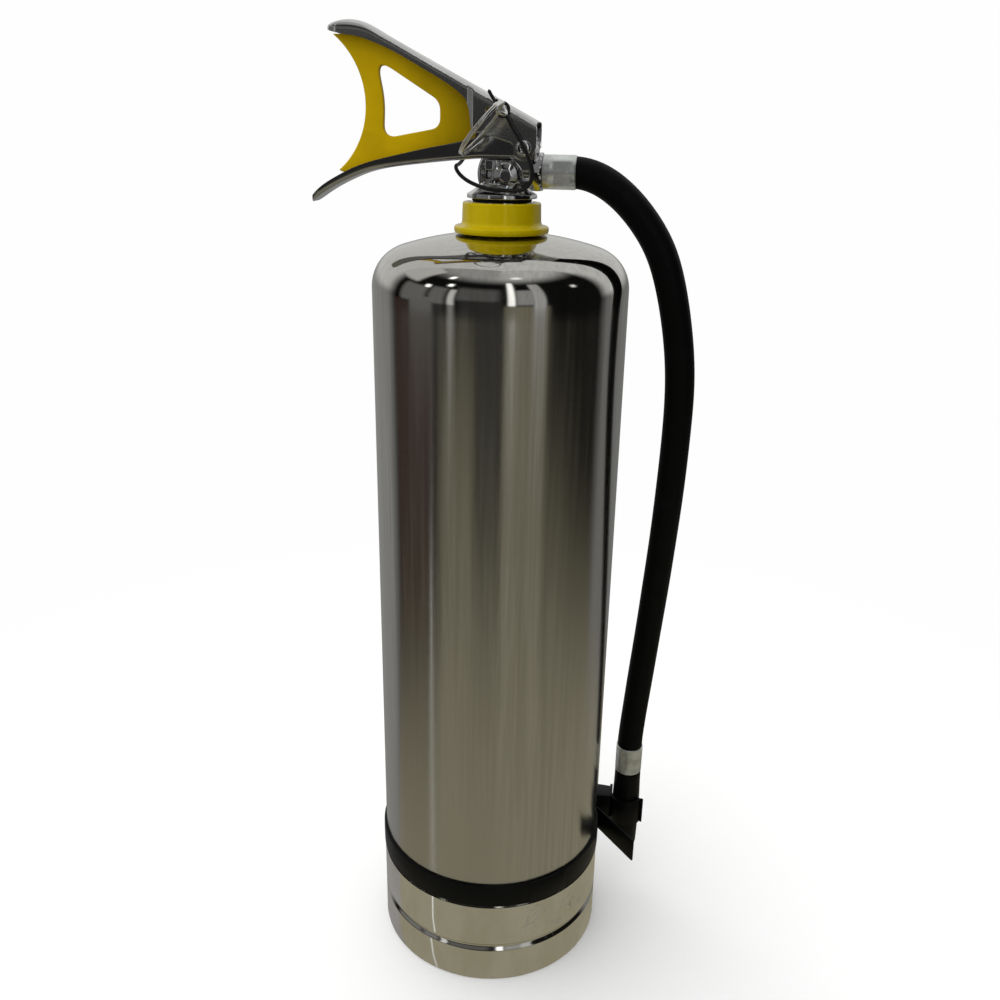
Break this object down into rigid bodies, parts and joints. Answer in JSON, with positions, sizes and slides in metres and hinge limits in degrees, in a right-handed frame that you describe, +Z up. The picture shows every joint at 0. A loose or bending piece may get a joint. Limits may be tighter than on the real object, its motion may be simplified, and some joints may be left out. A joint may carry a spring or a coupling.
{
  "type": "fire extinguisher",
  "caption": "Tall stainless cylinder with a domed top, squeeze-lever valve with yellow lock piece, safety pin, gauge and a side hose with nozzle held by a strap clip.",
  "frame": {"origin": "centre of the cylinder base, on the floor", "axes": "+Z up the cylinder, -X the way the handles point, +X the hose outlet, +Y the pressure gauge"},
  "size_m": [0.2309, 0.155, 0.5992],
  "materials": {
    "stainless": "fine vertical brushing, polished dome and foot",
    "polished_steel": "polished, lightly scratched",
    "chrome": "bright plating",
    "yellow_plastic": "glossy moulded yellow",
    "black_plastic": "satin black",
    "black_rubber": "smooth black hose cover",
    "zinc": "dull zinc plate, crimped",
    "brass": "machined",
    "spring_steel": "drawn wire",
    "seal_rubber": "moulded seal",
    "siphon_plastic": "natural plastic tube",
    "dial_white": "printed dial",
    "needle_black": "black paint",
    "clear": "clear gauge window"
  },
  "bodies": {
    "cylinder": {"carry_handle": "chrome", "dip_tube": "siphon_plastic", "gauge_bezel": "chrome", "gauge_bourdon_tube": "brass", "gauge_case": "brass", "gauge_dial": "dial_white", "gauge_lens": "clear", "hose_clip": "black_plastic", "hose_coupling_nut": "zinc", "hose_outlet_seal": "seal_rubber", "lever_pivot_rivet": "chrome", "neck_collar": "yellow_plastic", "neck_ring": "stainless", "seal_band": "black_plastic", "side_plug": "chrome", "side_plug_washer": "seal_rubber", "spring_retainer": "brass", "stem_gland": "brass", "stem_oring": "seal_rubber", "stem_spring": "spring_steel", "tank_base_skirt": "polished_steel", "tank_bottom": "stainless", "tank_shell": "stainless", "tank_strap": "black_plastic", "valve_body": "chrome", "valve_neck_seal": "seal_rubber"},
    "lever": {"squeeze_lever": "chrome", "lever_presser": "spring_steel"},
    "stem": {"valve_stem": "brass", "stem_seat_seal": "seal_rubber"},
    "insert": {"lock_insert": "yellow_plastic"},
    "pin": {"safety_pin": "chrome", "seal_loop": "black_plastic"},
    "ring": {"pin_ring": "chrome"},
    "hose_line": {"hose_tail_top": "brass", "hose_ferrule_top": "zinc", "hose": "black_rubber", "hose_ferrule_bottom": "zinc", "nozzle_barb": "brass", "nozzle_body": "black_plastic", "nozzle_insert": "brass"},
    "needle": {"gauge_needle": "needle_black", "gauge_arbor": "brass"}
  },
  "joints": [
    {"name": "lever_squeeze", "type": "hinge", "parent": "cylinder", "child": "lever", "pos_m": [0.0132, 0, 0.5358], "axis": [0, -1, 0], "range_deg": [0, 18.5]},
    {"name": "stem_slide", "type": "slide", "parent": "cylinder", "child": "stem", "axis": [0, 0, -1], "range_m": [0, 0.0046], "deforming": ["stem_spring"]},
    {"name": "insert_slide", "type": "slide", "parent": "cylinder", "child": "insert", "axis": [-0.9976, 0, -0.0698], "range_m": [0, 0.142]},
    {"name": "safety_pin_pull", "type": "slide", "parent": "lever", "child": "pin", "axis": [0, -1, 0], "range_m": [0, 0.036]},
    {"name": "pin_ring_swing", "type": "hinge", "parent": "pin", "child": "ring", "pos_m": [0.0015, -0.022, 0.5556], "axis": [-0.76, 0, 0.65], "range_deg": [0, 60]},
    {"name": "hose_swing", "type": "hinge", "parent": "cylinder", "child": "hose_line", "pos_m": [0.0208, 0, 0.5233], "axis": [1, 0, 0], "range_deg": [0, 110]},
    {"name": "gauge_needle_turn", "type": "hinge", "parent": "cylinder", "child": "needle", "pos_m": [-0.0015, 0.0315, 0.5205], "axis": [0, 1, 0], "range_deg": [-75, 75]}
  ],
  "couplings": [
    {"joint": "stem_slide", "follows": "lever_squeeze", "m_per_rad": 0.01385},
    {"joint": "insert_slide", "follows": "lever_squeeze", "m_per_rad": 0.4392}
  ]
}
